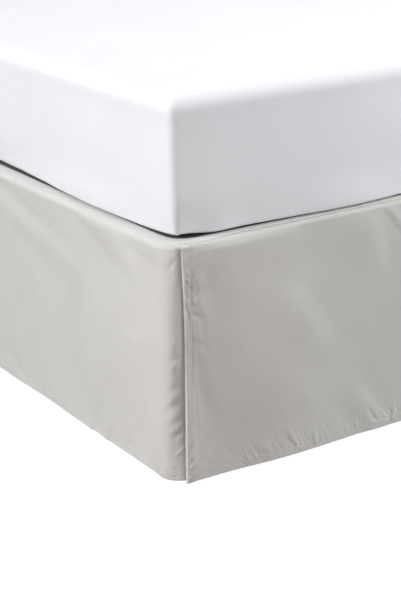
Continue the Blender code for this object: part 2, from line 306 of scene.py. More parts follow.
# The deck's cloth has painted shade inside a rim of the skirt's own: the rim's widths, and the shade's tone
FOOT_RIM = 0.0225
SIDE_RIM = 0.027
HEAD_RIM = 0.06
RIM_CORNER = 0.06
RIM_FADE = 0.0015
PAINTED_SHADE_SHARE = 0.1

# The stage, the sky's two levels, and the camera
STAGE_RADIUS = 40
FLOOR_GLOW = 0.97
FLOOR_FADE = (1.2, 3.5)
GLOW_BELOW = 0.28
GLOW_ABOVE = 0.25
CAMERA_ANGLES = (-31.078, 18.715, -2.068)
CAMERA_LENS = 98.3
CAMERA_FROM_CORNER = (-1.06544, -1.85209, 1.0139)


def rise(share):
    """0 up to 0, 1 from 1, and smooth between."""
    share = np.clip(share, 0, 1)
    return share * share * (3 - 2 * share)


def fade(share):
    """1 up to 0, 0 from 1, and straight between."""
    return np.clip(1 - share, 0, 1)


def table_value(rows, name, height):
    """A column of a table by height, smooth between its rows, which go from the top down."""
    value = getattr(rows[0], name) + 0 * height
    for upper, lower in itertools.pairwise(rows):
        start, end = getattr(upper, name), getattr(lower, name)
        share = rise((upper.height - height) / (upper.height - lower.height))
        value = np.where(height < upper.height, start + (end - start) * share, value)
    return value


def strip_width(height):
    return table_value(STRIPS, "width", height)


def inset_at(table, along):
    places, insets = zip(*table)
    return np.interp(along, places, insets)


def marks(*spans):
    """The places from 0 on. Each span is an end and the step that fits it, about."""
    places = [0.0]
    for end, step in spans:
        first = places[-1]
        count = max(1, math.ceil(round((end - first) / step, 6)))
        places += [first + (end - first) * index / count for index in range(1, count + 1)]
    return np.array(places)


def turns(*degrees):
    return [math.radians(angle) for angle in degrees]


def wander(across, down, size, seed):
    """A smooth uneven field from -1 to 1, with bumps about size across."""
    cells = 64
    lattice = np.random.default_rng(seed).uniform(-1, 1, (cells, cells))
    across, down = np.broadcast_arrays(across / size + 7.3, down / size + 3.1)
    left, top = np.floor(across).astype(int), np.floor(down).astype(int)
    right_share, low_share = rise(across - left), rise(down - top)

    def level(row):
        first, second = (lattice[column % cells, row % cells] for column in (left, left + 1))
        return first * (1 - right_share) + second * right_share

    return level(top) * (1 - low_share) + level(top + 1) * low_share


def bumps(table, across, down, seed=0):
    """The sum of a table's uneven fields."""
    return sum(amount * wander(across, down, size, seed + extra) for amount, size, extra in table)


def gathers(kind, at, past, seed):
    """The relief where stitches gather the cloth: round puffs with sharp creases between.

    at runs along the stitches and past across them, away from the edge. The puffs are strongest a
    little beyond the stitches, and uneven along them."""
    seed += kind.seed
    uneven = 0.2 + 0.8 * rise(0.5 + 0.9 * wander(at, past * 0.2, 9 * kind.size, seed))
    puff = np.abs(wander(at + GATHER_SLANT * past, past * 0.3, kind.size, seed + 1)) ** 0.8 - 0.45
    beyond = np.maximum(past / (0.3 * kind.reach), 0)
    strength = np.where(past > 0, beyond * np.exp(1 - beyond), 0.35 * rise(-past / 0.003))
    return kind.amount * uneven * puff * strength


def hem_gathers(at, past, amount, seed):
    """Gathers of three sizes beyond a hem's stitches, and the smallest on the hem as well."""
    on_hem = rise((HEM_DEPTH + past) / ON_HEM_FADE) * rise(-past / HEM_STEP)
    relief = on_hem * gathers(ON_HEM_GATHER, at, -past, seed)
    return amount * (relief + sum(gathers(kind, at, past, seed) for kind in HEM_GATHERS))


def fold_push(folds, along, height):
    """How far the folds push a place outwards."""
    push = np.zeros(np.shape(along))
    for fold in folds:
        run, climb = fold.to_along - fold.from_along, fold.to_height - fold.from_height
        length = math.hypot(run, climb)
        past, up = along - fold.from_along, height - fold.from_height
        share = np.clip((past * run + up * climb) / length**2, 0, 1)
        off_along, off_height = past - run * share, up - climb * share
        distance = np.hypot(off_along, off_height)
        other = fold.other_width or fold.half_width
        to_left = (run * off_height - climb * off_along) / (length * np.maximum(distance, 1e-6))
        width = (fold.half_width + other) / 2 + (fold.half_width - other) / 2 * np.clip(to_left, -1, 1)
        push += fold.push * rise(FOLD_FADE * (1 - share)) * fade((distance / width) ** 2) ** 2
    return push


def outline(run, radius):
    """The points and outward normals on the skirt's outline, as seen from above.

    run is the distance round the outline from the middle of the foot: positive goes by the left
    corner (-X) and up the left side, negative by the right corner. radius is the corners'."""
    straight = HALF_WIDTH - radius
    distance = np.abs(run)
    angle = np.clip((distance - straight) / radius, 0, math.pi / 2)
    across = np.minimum(distance, straight) + radius * np.sin(angle)
    up = radius * (1 - np.cos(angle)) + np.maximum(distance - straight - radius * math.pi / 2, 0)
    side = np.where(run > 0, -1.0, 1.0)
    point = np.stack([side * across, FOOT_Y + up], -1)
    return point, np.stack([side * np.sin(angle), -np.cos(angle)], -1)


def fall(down):
    """The height, the inset and the tilt of the cloth's face at a distance down from the seam."""
    tilt = SHOULDER_TURN * fade(down / SHOULDER_ARC)
    height = SEAM_HEIGHT - SHOULDER_FALL + SHOULDER_RADIUS * np.sin(tilt)
    height = height - np.maximum(down - SHOULDER_ARC, 0)
    return height, SHOULDER_RADIUS * (1 - np.cos(tilt)), tilt


def corner_radius(height):
    """The corners' radius by height. It widens near the hem, and more sharply near the seam."""
    share = np.clip((height - HEM_HEIGHT) / DROP, 0, 1.1)
    to_hem = (CORNER_AT_HEM - CORNER_BETWEEN) * fade(share) ** 4
    return CORNER_BETWEEN + to_hem + (CORNER_AT_SEAM - CORNER_BETWEEN) * share**9


def face(run, down, push):
    """The cloth's outer face and its normals, pushed out along them."""
    height, inset, tilt = fall(down)
    point, outward = outline(run, corner_radius(height))
    point = point - outward * inset[..., None]
    normal = np.concatenate([outward * np.cos(tilt)[..., None], np.sin(tilt)[..., None]], -1)
    point = np.concatenate([point, height[..., None]], -1)
    return point + normal * push[..., None], normal


def under_shoulder(height):
    return rise((SEAM_HEIGHT - height) / (2 * SHOULDER_FALL))


def hem_relief(past):
    """The step and the groove where a hem is stitched. past is the distance beyond its stitches."""
    return HEM_RISE * rise(-past / HEM_SLOPE) - GROOVE_DEPTH * np.exp(-((past / GROOVE_WIDTH) ** 2))


def end_pull(past_end, down, height):
    """How far the stitches of the foot drop's end hems pull it in."""
    line = np.exp(-((past_end / PULL_WIDTH) ** 2)) * (0.7 + bumps(PULL_BUMPS, down, down * 0))
    return PULL_DEPTH * line * rise((height - PULL_HEIGHT) / PULL_GROWTH)


def sewn_relief(sewn, length, down, past_hem, at_end, seam_share, lean):
    """The relief that its stitches give a drop: at the bottom hem, at the end hems and at the seam.

    at_end is the end hems' own. lean is how far the drop leans in at the seam."""
    past_seam = down - SEAM_DOWN - bumps(SEAM_LINE, length, length * 0)
    relief = hem_relief(past_hem) + hem_gathers(length, past_hem, sewn.hem, sewn.hem_seed)
    at_end = at_end + gathers(SEAM_GATHER, length, down - SEAM_DOWN, sewn.seam_seed)
    relief += at_end * rise(down / END_HEM_TOP) - lean * fade(past_seam / LEAN_REACH) ** 2
    return relief - SEAM_DEPTH * seam_share * np.exp(-((past_seam / SEAM_WIDTH) ** 2))


def thickness(past_hem, past_end, down):
    """How thick the cloth is: more at its hems."""
    doubled = np.maximum(rise(-past_hem / HEM_STEP), rise(-past_end / HEM_STEP) * rise(down / END_HEM_TOP))
    return CLOTH + (HEM_CLOTH - CLOTH) * doubled


def foot_run(length, height):
    """How far round the outline a place on the foot drop lies, with its flare."""
    flare = FOOT_FLARE * rise((FLARE_HEIGHT - height) / FLARE_HEIGHT)
    return (FOOT_HALF - length) * (1 + flare / FOOT_HALF)


def foot_face(length, down, fine=True):
    """The foot drop's face at a length from its left end, its normals and how thick the cloth is.

    fine is for its outer side, with all its small relief."""
    length, down = np.broadcast_arrays(length, down)
    height = fall(down)[0]
    run = foot_run(length, height)
    along = HALF_WIDTH - run
    from_end = np.minimum(length, FOOT_LENGTH - length)
    past_hem = CLOTH_LENGTH - HEM_DEPTH - down
    past_end = from_end - strip_width(height)
    push = fold_push(FOOT_FOLDS, along, height) * under_shoulder(height)
    if fine:
        tight = sum(share * rise((height - start) / over) for start, over, share in END_TIGHTNESS)
        at_end = tight * hem_gathers(down, past_end, FOOT_SEWN.end, FOOT_SEWN.end_seed)
        at_end += hem_relief(past_end) - end_pull(past_end, down, height)
        push += fold_push(FOOT_CREASES, along, height)
        push += bumps(SOFT_BUMPS, along, height, FOOT_SEWN.soft_seed) * under_shoulder(height)
        push += sewn_relief(FOOT_SEWN, length, down, past_hem, at_end, 1, LEAN_DEPTH)
    thick = thickness(past_hem, past_end, down)
    growth = rise((SLIT_TOP - height) / EDGE_GROWTH)
    width = EDGE_WIDTH_AT_TOP + (EDGE_WIDTH - EDGE_WIDTH_AT_TOP) * growth
    edge = np.minimum(EDGE_SLOPE * np.maximum(width - from_end, 0), thick - EDGE_CLOTH)
    point, normal = face(run, down, push - edge)
    low = rise(1 - (height - HEM_HEIGHT) / TIP_HEIGHT)
    point[..., 2] -= TIP_DROOP * low * rise(1 - from_end / TIP_WIDTH)
    return point, normal, thick - edge


def side_face(folds, creases, sewn, side, length, down, fine=True):
    """A side drop's face at a length from its turned-in end. side is 1 for left, -1 for right."""
    length, down = np.broadcast_arrays(length, down)
    height = fall(down)[0]
    round_corners = corner_radius(height) * (2 - math.pi / 2)
    run = HALF_WIDTH + HEAD_Y - FOOT_Y - round_corners - (SIDE_LENGTH - length)
    along = length - SIDE_PAST_CORNER
    past_slit = run - foot_run(0, height) - SLIT_GAP
    past_hem = CLOTH_LENGTH - HEM_DEPTH - down
    past_head = SIDE_LENGTH - length - HEM_DEPTH
    past_end = np.minimum(length - HEM_DEPTH, past_head)
    push = fold_push(folds, along, height) * under_shoulder(height) * rise(past_slit / FOLD_GROWTH)
    if fine:
        at_end = hem_relief(past_end) + hem_gathers(down, past_head, sewn.end, sewn.end_seed)
        soft = bumps(SOFT_BUMPS, along, height, sewn.soft_seed)
        push += fold_push(creases, along, height)
        push += soft * under_shoulder(height) * rise(past_slit / BUMP_GROWTH)
        seam_share = rise((along - SEAM_SHOWS) / SEAM_GROWTH)
        push += sewn_relief(sewn, length, down, past_hem, at_end, seam_share, 0)
    depth, reach = (table_value(TURNS, column, height) for column in ("depth", "reach"))
    closed = rise((height - SLIT_TOP) / CLOSED_GROWTH)
    push -= depth * (1 - CLOSED_SHARE * closed) * fade(past_slit / reach) ** 1.7
    point, normal = face(side * run, down, push)
    return point, normal, thickness(past_hem, past_end, down)


left_face = partial(side_face, LEFT_FOLDS, LEFT_CREASES, LEFT_SEWN, 1)
right_face = partial(side_face, RIGHT_FOLDS, RIGHT_CREASES, RIGHT_SEWN, -1)


def new_object(name, data):
    made = bpy.data.objects.new(name, data)
    scene.collection.objects.link(made)
    return made


def new_piece(name, mesh, surface):
    mesh.materials.append(surface)
    mesh.shade_smooth()
    return new_object(name, mesh)


def mesh_of(name, points, faces, uv=None):
    """A mesh from points and faces. Its UV is the cloth's own measure in metres."""
    mesh = bpy.data.meshes.new(name)
    mesh.from_pydata(points.tolist(), [], faces)
    if uv is not None:
        corners = np.empty(len(mesh.loops), np.int32)
        mesh.loops.foreach_get("vertex_index", corners)
        mesh.uv_layers.new(name="cloth").data.foreach_set("uv", uv[corners].astype(np.float32).ravel())
    return mesh


def thinned(places):
    """The indexes of the places that the back keeps: those near the edges, and some between."""
    last = len(places) - 1
    kept = [0, 2]
    for index in range(3, last - 2):
        if min(places[index] - places[kept[-1]], places[last - 2] - places[index]) >= BACK_STEP:
            kept.append(index)
    return kept + [last - 2, last]


def closed_cloth(name, lengths, downs, place, surface):
    """A closed cloth, round at its edges: a fine outer side where place says, and a coarser back."""
    length, down = np.meshgrid(lengths, downs, indexing="ij")
    edge = np.minimum.reduce([length, lengths[-1] - length, down, downs[-1] - down])

    def layers(fine):
        outer, normal, thick = place(length, down, fine)
        half = thick / 2
        rounded = np.sqrt(1 - fade(edge / half) ** 2)
        return outer - normal * half[..., None], normal * (half * rounded)[..., None], normal

    middle, offset, normal = layers(True)
    outer = middle + offset
    middle, offset, _ = layers(False)
    behind = middle - offset - normal * (BACK_MARGIN * rise(edge / BACK_GROWTH))[..., None]
    columns, rows = length.shape
    front = np.arange(columns * rows).reshape(columns, rows)
    kept_columns, kept_rows = thinned(lengths), thinned(downs)
    inner = np.ix_(kept_columns[1:-1], kept_rows[1:-1])
    back = front.copy()
    back[inner] = columns * rows + np.arange(back[inner].size).reshape(back[inner].shape)
    points = np.concatenate([outer.reshape(-1, 3), behind[inner].reshape(-1, 3)])
    uv = np.stack([length, down], -1)
    uv = np.concatenate([uv.reshape(-1, 2), uv[inner].reshape(-1, 2)])
    first = np.stack([front[:-1, :-1], front[:-1, 1:], front[1:, 1:], front[1:, :-1]], -1).reshape(-1, 4)

    def steps(start, end, fine):
        return range(start, end, 1 if end > start else -1) if fine else (start,)

    second = []
    for low, high in zip(kept_columns, kept_columns[1:]):
        for top, foot in zip(kept_rows, kept_rows[1:]):
            ring = [back[low, row] for row in steps(top, foot, low == 0)]
            ring += [back[column, foot] for column in steps(low, high, foot == rows - 1)]
            ring += [back[high, row] for row in steps(foot, top, high == columns - 1)]
            ring += [back[column, top] for column in steps(high, low, top == 0)]
            second.append([int(corner) for corner in ring])
    centre = columns // 2, rows // 2
    across = outer[centre[0] + 1, centre[1]] - outer[centre]
    along = outer[centre[0], centre[1] + 1] - outer[centre]
    if np.dot(np.cross(along, across), normal[centre]) > 0:
        faces = first.tolist() + [ring[::-1] for ring in second]
    else:
        faces = first[:, ::-1].tolist() + second
    return new_piece(name, mesh_of(name, points, faces, uv), surface)


def threads(name, stitches, radius, surface):
    """Stitches that lie on the cloth: each a short thread that dips into it at its ends.

    A stitch is its start, its end and the cloth's normal there."""
    starts, ends, normals = stitches
    direction = ends - starts
    direction /= np.linalg.norm(direction, axis=1, keepdims=True)
    across = np.cross(direction, normals)
    points = []
    for share, width, lift in THREAD_RINGS:
        centre = starts + (ends - starts) * share + normals * (lift * radius)
        for side in range(THREAD_SIDES):
            angle = 2 * math.pi * side / THREAD_SIDES
            out = across * math.cos(angle) + normals * math.sin(angle)
            points.append(centre + out * (radius * width))
    points = np.stack(points, 1)
    index = np.arange(points.shape[1]).reshape(-1, THREAD_SIDES)
    turned = np.roll(index, -1, axis=1)
    quads = np.stack([index[:-1], turned[:-1], turned[1:], index[1:]], -1).reshape(-1, 4)
    halves = np.array([(0, 1, 2, 3), (0, 3, 4, 5)])
    quads = np.concatenate([quads, halves[:, ::-1], halves + index[-1, 0]])
    faces = (quads[None] + (np.arange(len(starts)) * points.shape[1])[:, None, None]).reshape(-1, 4)
    return new_piece(name, mesh_of(name, points.reshape(-1, 3), faces.tolist()), surface)


def stitch_places(place, lengths, downs, along_length):
    """The starts, ends and normals of the stitches along a line on a drop."""
    length_half, down_half = (STITCH / 2, 0) if along_length else (0, STITCH / 2)
    starts = place(lengths - length_half, downs - down_half)[0]
    ends = place(lengths + length_half, downs + down_half)[0]
    return np.stack([starts, ends, place(lengths, downs)[1]]).reshape(3, -1, 3)


def stitched(name, place, total, end_hems, surface):
    """A drop's stitches as one piece. end_hems give the lengths of their lines by height."""
    lengths = np.arange(FIRST_STITCH, total - LAST_STITCH, STITCH_STEP)[:, None]
    downs = np.arange(END_HEM_TOP, CLOTH_LENGTH - LAST_STITCH, STITCH_STEP)[:, None]
    lines = [stitch_places(place, lengths, np.full_like(lengths, CLOTH_LENGTH - HEM_DEPTH), True)]
    lines += [stitch_places(place, end_hem(fall(downs)[0]), downs, False) for end_hem in end_hems]
    return threads(name, np.concatenate(lines, 1), THREAD, surface)


def bar_tack(name, surface):
    """Two short rows of stitches across each slit's top, which hold the drops together."""
    stitches = []
    for side, down, index in itertools.product((1, -1), TACK_ROWS, range(TACK_STITCHES)):
        run = FOOT_HALF + TACK_PAST_SLIT - TACK_STEP * np.array([index, index + TACK_SHARE])
        place, normal = face(side * run, np.full(2, down), np.full(2, TACK_LIFT))
        stitches.append((place[0], place[1], normal.mean(0)))
    return threads(name, np.array(stitches).transpose(1, 0, 2), TACK_THREAD, surface)


def feed(tree, node, *inputs, **named):
    """Feeds a node's inputs, in order or by name, with values or other nodes' outputs."""
    sockets = list(zip(node.inputs, inputs))
    sockets += [(node.inputs[name.replace("_", " ")], value) for name, value in named.items()]
    for socket, value in sockets:
        if isinstance(value, bpy.types.NodeSocket):
            tree.links.new(value, socket)
        elif value is not None:
            socket.default_value = value


def add_node(tree, kind, *inputs, **settings):
    """A new node. A setting is a property of it, or one of its inputs by name."""
    node = tree.nodes.new("ShaderNode" + kind)
    for name in [name for name in settings if hasattr(node, name)]:
        setattr(node, name, settings.pop(name))
    feed(tree, node, *inputs, **settings)
    return node


def math_node(tree, operation, *inputs):
    return add_node(tree, "Math", *inputs, operation=operation).outputs[0]


def level_node(tree, value, start, end, low, high, **settings):
    """A level that goes from low to high while a value goes from start to end."""
    return add_node(tree, "MapRange", value, start, end, low, high, **settings).outputs["Result"]


def tone_node(tree, value, *stops):
    """A colour between two stops, each a value and its colour."""
    tones = add_node(tree, "ValToRGB", value)
    for element, (position, color) in zip(tones.color_ramp.elements, stops):
        element.position = position
        element.color = (*color, 1)
    return tones.outputs["Color"]


def object_place(tree):
    return add_node(tree, "TexCoord").outputs["Object"]


def noise_node(tree, place, scale, detail, **settings):
    return add_node(tree, "TexNoise", Vector=place, Scale=scale, Detail=detail, **settings).outputs["Fac"]


def bump_node(tree, height, strength, distance):
    return add_node(tree, "Bump", Strength=strength, Distance=distance, Height=height).outputs["Normal"]


def node_material(name, color, roughness, specular=0.3, sheen=0.0, sheen_roughness=0.5):
    """A plain material, with its node tree and its shader."""
    made = bpy.data.materials.new(name)
    made.use_nodes = True
    tree, shader = made.node_tree, made.node_tree.nodes["Principled BSDF"]
    feed(tree, shader, Base_Color=(*color, 1), Roughness=roughness, Specular_IOR_Level=specular)
    feed(tree, shader, Sheen_Weight=sheen, Sheen_Roughness=sheen_roughness)
    return made, tree, shader


def weave_height(tree, coordinates, pitch):
    """A plain weave's height: threads that pass over each other by turns, a little unevenly."""
    split = add_node(tree, "SeparateXYZ", coordinates)
    warp, weft = (
        math_node(tree, "SINE", math_node(tree, "MULTIPLY", split.outputs[axis], math.pi / pitch))
        for axis in ("X", "Y")
    )
    uneven = noise_node(tree, coordinates, 1 / (6 * pitch), 2.0)
    return math_node(tree, "MULTIPLY_ADD", uneven, WEAVE_UNEVEN, math_node(tree, "MULTIPLY", warp, weft))


def cloth_material(
    name, dark, light, pitch, weave_depth, roughness=0.82, sheen=0.12, mottle=9.0, measured=True
):
    """A woven cloth: two close tones, mottled and slubbed, over the relief of its weave.

    measured is for a piece whose UV is the cloth's own measure."""
    middle = tuple((a + b) / 2 for a, b in zip(dark, light))
    made, tree, shader = node_material(name, middle, roughness, CLOTH_SPECULAR, sheen, SHEEN_ROUGHNESS)
    place = add_node(tree, "TexCoord").outputs
    measure = place["UV"] if measured else place["Object"]
    broad = noise_node(tree, place["Object"], mottle, 3.0, Roughness=0.55)
    stretch = add_node(tree, "Mapping", Vector=measure, Scale=(60, 900, 900) if measured else (60, 60, 900))
    slub = noise_node(tree, stretch.outputs[0], 1.0, 2.0)
    both = add_node(tree, "Mix", SLUB_SHARE, None, broad, slub, data_type="FLOAT")
    rough = level_node(tree, slub, 0, 1, roughness - ROUGH_SPREAD, roughness + ROUGH_SPREAD)
    relief = bump_node(tree, weave_height(tree, measure, pitch), WEAVE_STRENGTH, weave_depth)
    tones = tone_node(tree, both.outputs[0], (0.34, dark), (0.66, light))
    feed(tree, shader, Base_Color=tones, Roughness=rough, Normal=relief)
    return made


def paint_shade_inside(made, half_x, low_y, high_y, share):
    """Paints shade into a material's tones: darker inside a rectangle with soft corners."""
    tree, shader = made.node_tree, made.node_tree.nodes["Principled BSDF"]
    tones = shader.inputs["Base Color"].links[0].from_socket
    split = add_node(tree, "SeparateXYZ", object_place(tree))
    beyond = []
    for axis, middle, half in (("X", 0.0, half_x), ("Y", (low_y + high_y) / 2, (high_y - low_y) / 2)):
        from_middle = math_node(tree, "ABSOLUTE", math_node(tree, "SUBTRACT", split.outputs[axis], middle))
        beyond.append(math_node(tree, "SUBTRACT", from_middle, half))
    outside = math_node(tree, "SMOOTH_MAX", *beyond, RIM_CORNER)
    level = level_node(tree, outside, -RIM_FADE, RIM_FADE, share, 1.0)
    # The painted shade: the tones scaled down inside the rim
    shaded_tones = add_node(tree, "VectorMath", tones, operation="SCALE", Scale=level)
    feed(tree, shader, Base_Color=shaded_tones.outputs[0])


def thread_material(name, color, roughness):
    """Spun thread, with a fine grain."""
    made, tree, shader = node_material(name, color, roughness)
    feed(tree, shader, Normal=bump_node(tree, noise_node(tree, object_place(tree), 3000, 2.0), 0.4, 0.00008))
    return made


def wood_material(name):
    """Dark stained wood with its grain up the leg."""
    made, tree, shader = node_material(name, (0.06, 0.04, 0.03), 0.42)
    stretch = add_node(tree, "Mapping", Vector=object_place(tree), Scale=(90, 90, 5))
    grain = noise_node(tree, stretch.outputs[0], 1.0, 6.0, Distortion=0.6)
    tones = tone_node(tree, grain, (0.35, (0.03, 0.018, 0.012)), (0.68, (0.115, 0.072, 0.046)))
    feed(tree, shader, Base_Color=tones, Normal=bump_node(tree, grain, 0.25, 0.0004))
    return made


def rectangle_plan(half_x, half_y, radius, step):
    """Places round a rectangle with round corners, anticlockwise from its foot's right end.

    Each is its share of the way to the corners' centres, and its outward normal."""
    core, normal = [], []
    corner_steps = 10
    corners = (((1, -1), -90), ((1, 1), 0), ((-1, 1), 90), ((-1, -1), 180))
    for index, (corner, start) in enumerate(corners):
        for turn in range(corner_steps + 1):
            angle = math.radians(start + 90 * turn / corner_steps)
            core.append(corner)
            normal.append((math.cos(angle), math.sin(angle)))
        after = corners[(index + 1) % 4][0]
        half_run = half_x - radius if corner[0] != after[0] else half_y - radius
        count = math.ceil(2 * half_run / step)
        for part in range(1, count):
            core.append(tuple(a + (b - a) * part / count for a, b in zip(corner, after)))
            normal.append(normal[-1])
    return np.array(core, float), np.array(normal, float)


def plan_points(shape, half_x, half_y, radius, middle_y):
    core, normals = shape
    return core * (half_x - radius, half_y - radius) + normals * radius + (0, middle_y)


def distance_round(plan):
    return np.concatenate([[0], np.cumsum(np.linalg.norm(np.diff(plan, axis=0), axis=1))])


def loft(name, rings, surface):
    """A closed form from rings of equally many points, lowest first."""
    rings = np.stack(rings)
    count, size = rings.shape[:2]
    index = np.arange(count * size).reshape(count, size)
    turned = np.roll(index, -1, axis=1)
    quads = np.stack([index[:-1], turned[:-1], turned[1:], index[1:]], -1).reshape(-1, 4)
    faces = quads.tolist() + [index[-1].tolist(), index[0][::-1].tolist()]
    return new_piece(name, mesh_of(name, rings.reshape(-1, 3), faces), surface)


def mattress_piece(surface):
    """The mattress: crowned, with soft uneven sides, and flat where it lies on the deck."""
    low, high = PAD_LOW.z, PAD_HIGH.z
    half_x, low_y = PAD_HIGH.x, PAD_LOW.y
    half_y, middle_y = (PAD_HIGH.y - low_y) / 2, (PAD_HIGH.y + low_y) / 2
    shape = rectangle_plan(half_x, half_y, PAD_CORNER, 0.008)
    normals = shape[1]
    plan = plan_points(shape, half_x, half_y, PAD_CORNER, middle_y)
    around = distance_round(plan)
    left_push = HALF_WIDTH - half_x - inset_at(LEFT_INSETS, plan[:, 1] - FOOT_Y) + TUCK
    foot_push = low_y - FOOT_Y - inset_at(FOOT_INSETS, plan[:, 0] + HALF_WIDTH) + TUCK_AT_FOOT * TUCK
    side_push = np.where(normals[:, 1] < -0.999, foot_push, np.where(normals[:, 0] < -0.999, left_push, 0))
    straight = np.abs(normals).max(axis=1) > 0.999
    side_push = np.interp(around, around[straight], side_push[straight])
    for _ in range(6):
        side_push = (np.roll(side_push, 1) + 2 * side_push + np.roll(side_push, -1)) / 4
    near_corner = np.hypot(plan[:, 0] + half_x, plan[:, 1] - low_y)
    foot_share, head_share = rise(-normals[:, 1]), np.clip(normals[:, 1], 0, 1)
    at_corner = np.maximum(foot_share, rise(1 - near_corner / 0.04))
    drawn_in = CORNER_DRAWN_IN * fade(near_corner / 0.06) ** 2
    lift = LIFT + CORNER_LIFT * rise(1.3 * (1 - near_corner / CORNER_LIFT_REACH)) * (0.4 + 0.6 * at_corner)
    lift = (lift + bumps(PAD_EDGE, around, around * 0)) * (1 - head_share)
    rings = []

    def ring(z, inset, share_of_push=0.0, lifted=0.0, relief=0.0):
        tucked = TUCK * (1 - (1 - TUCK_AT_FOOT) * foot_share) * fade((z - low) / TUCK_REACH) ** 2
        radius = max(PAD_CORNER - max(inset, 0), 0.004)
        flat = plan_points(shape, half_x - inset, half_y - inset, radius, middle_y)
        waves = bumps(PAD_WAVES, around, np.full_like(around, z)) - drawn_in
        offset = (side_push - tucked) * share_of_push
        offset += waves * (1 - relief) * (inset < PAD_TOP_EDGE)
        flat = flat + normals * offset[:, None]
        dip = np.abs(bumps(PAD_DIPS, flat[:, 0], flat[:, 1])) * relief
        rings.append(np.column_stack([flat, z + lift * lifted - dip]))

    for inset in PAD_LOW_INSETS:
        ring(low, inset, rise((0.034 - inset) / 0.03), rise((0.034 - inset) / 0.024))
    for turn in turns(0, 20, 40, 60, 80):
        ring(low + PAD_LOW_EDGE * (1 - math.cos(turn)), PAD_LOW_EDGE * (1 - math.sin(turn)), 1, 1)
    side_top = high - PAD_TOP_EDGE
    for z in np.linspace(low + 0.008, side_top, 23):
        share = (z - low) / (side_top - low)
        bulge = PAD_BULGE * math.sin(math.pi * min(share * 1.1, 1))
        ring(z, -bulge, 1 - 0.8 * rise(share / 0.35), rise(1 - share / 0.12))
    for turn in turns(*range(10, 91, 10)):
        z = side_top + PAD_TOP_EDGE * math.sin(turn) - PAD_CROWN * math.sin(turn) ** 4
        ring(z, PAD_TOP_EDGE * (1 - math.cos(turn)), 0.2 * math.cos(turn))
    for inset in (*PAD_TOP_INSETS, half_x - 0.008):
        crown = PAD_CROWN * (1 - rise(inset / 0.5))
        ring(high - crown, inset, relief=rise((inset - PAD_TOP_EDGE) / 0.1))
    return loft("mattress_pad", rings, surface)


def box_piece(surface):
    """The box spring: a padded box with corded edges."""
    half_y, middle_y = (BOX_HIGH.y - BOX_LOW.y) / 2, (BOX_HIGH.y + BOX_LOW.y) / 2
    shape = rectangle_plan(BOX_HIGH.x, half_y, BOX_CORNER, 0.014)
    low, high = BOX_LOW.z, BOX_HIGH.z
    rings = []

    def ring(z, inset):
        flat = plan_points(shape, BOX_HIGH.x - inset, half_y - inset, BOX_CORNER - inset, middle_y)
        rings.append(np.column_stack([flat, np.full(len(flat), z)]))

    def cord(middle):
        for turn in turns(*range(-90, 91, 30)):
            ring(middle + BOX_CORD * math.sin(turn), BOX_CORD * (1 - math.cos(turn)) + 0.0005)

    ring(low, 0.06)
    ring(low, 0.014)
    cord(low + BOX_CORD)
    side_low, side_high = low + 2 * BOX_CORD + 0.001, high - 2 * BOX_CORD - 0.001
    for share in np.linspace(0, 1, 14):
        bulge = BOX_BULGE * math.sin(math.pi * share) ** 0.6 if 0 < share < 1 else 0.0
        ring(side_low + (side_high - side_low) * share, BOX_SIDE_INSET - bulge)
    cord(high - BOX_CORD)
    ring(high, 0.014)
    ring(high, 0.06)
    return loft("box_spring_pad", rings, surface)


def deck_piece(surface):
    """The deck: a thin sheet that lies flat under the mattress, and puckers a little at its seam.

    Its outline's right half runs from the middle of the foot to that of the head. The head corners
    are square, so the places at the head and on the sides are drawn in along both axes there."""
    radius = CORNER_AT_SEAM - SHOULDER_INSET
    half_x, side_low = HALF_WIDTH - SHOULDER_INSET, FOOT_Y + CORNER_AT_SEAM
    half_plan = [(x, side_low - radius, 0, -1) for x in marks((HALF_WIDTH - CORNER_AT_SEAM, 0.006))]
    for turn in marks((math.pi / 2, math.radians(5)))[1:]:
        across, down = math.sin(turn), -math.cos(turn)
        half_plan.append((half_x - radius + radius * across, side_low + radius * down, across, down))
    half_plan += [(half_x, side_low + up, 1, 0) for up in marks((HEAD_Y - side_low, 0.006))[1:]]
    half_plan += [(x, HEAD_Y, 0, 1) for x in marks((half_x, 0.012))[-2::-1]]
    half_plan = np.array(half_plan, float)
    whole = np.concatenate([half_plan, half_plan[-2:0:-1] * (-1, 1, -1, 1)])
    plan, normals = whole[:, :2], whole[:, 2:]
    around = distance_round(plan)
    at_head = plan[:, 1] > HEAD_Y - 1e-5
    on_side = (np.abs(normals[:, 0]) > 0.999) & ~at_head
    half = CLOTH / 2
    middle_z = SEAM_HEIGHT - half
    seam_waves = bumps(DECK_WAVES, around, around * 0) * (1 - 0.9 * np.clip(normals[:, 1], 0, 1))
    tops, lows = [], []
    for distance in [half * (1 - math.cos(turn)) for turn in turns(0, 30, 60, 90)] + list(DECK_INSETS):
        rounded = half * math.sqrt(1 - fade(distance / half) ** 2)
        wave = seam_waves * rise(1 - distance / 0.016) * rise(distance / 0.002)
        flat = plan - normals * distance
        flat[at_head] = plan[at_head] * (1 - distance / half_x, 1) - (0, distance)
        flat[on_side, 1] -= distance * (plan[on_side, 1] - side_low) / (HEAD_Y - side_low)
        dip = DECK_DIP * math.exp(-((distance / 0.0012) ** 2))
        tops.append(np.column_stack([flat, middle_z + rounded + wave - dip]))
        lows.append(np.column_stack([flat, np.full(len(plan), middle_z - rounded - dip)]))
    return loft("deck_sheet", lows[:0:-1] + tops, surface)


